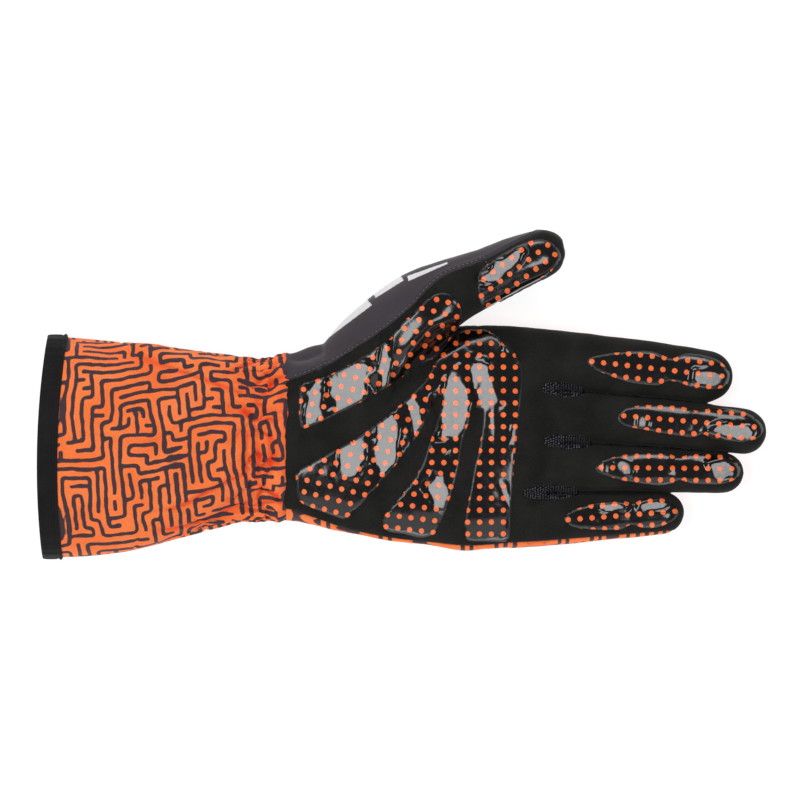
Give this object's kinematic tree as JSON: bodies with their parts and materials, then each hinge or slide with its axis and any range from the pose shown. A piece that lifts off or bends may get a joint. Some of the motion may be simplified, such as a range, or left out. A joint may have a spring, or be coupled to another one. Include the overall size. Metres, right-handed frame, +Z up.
{
  "type": "driving glove",
  "caption": "Left-hand kart driving glove lying palm up, with a long printed gauntlet, suede palm, mesh finger sides and dotted silicone grips.",
  "frame": {"origin": "on the surface under the middle of the whole glove's bounding box", "axes": "+X from the gauntlet towards the fingertips, +Y towards the thumb side, +Z up out of the palm"},
  "size_m": [0.3104, 0.1392, 0.0346],
  "materials": {
    "knit_binding": "matte",
    "printed_cloth": "matte",
    "suede": "suede",
    "charcoal_cloth": "matte",
    "mesh_knit": "matte",
    "silicone": "glossy"
  },
  "bodies": {
    "root": {"hem_band": "knit_binding", "gauntlet": "printed_cloth", "palm_panel": "suede", "back_panel": "printed_cloth", "thumb_back": "charcoal_cloth", "fourchette_index_middle": "mesh_knit", "fourchette_middle_ring": "mesh_knit", "fourchette_ring_little": "mesh_knit", "grip_thenar": "silicone", "grip_palm": "silicone", "grip_thumb": "silicone", "grip_index": "silicone", "grip_middle": "silicone", "grip_ring": "silicone", "grip_little": "silicone"}
  },
  "joints": []
}
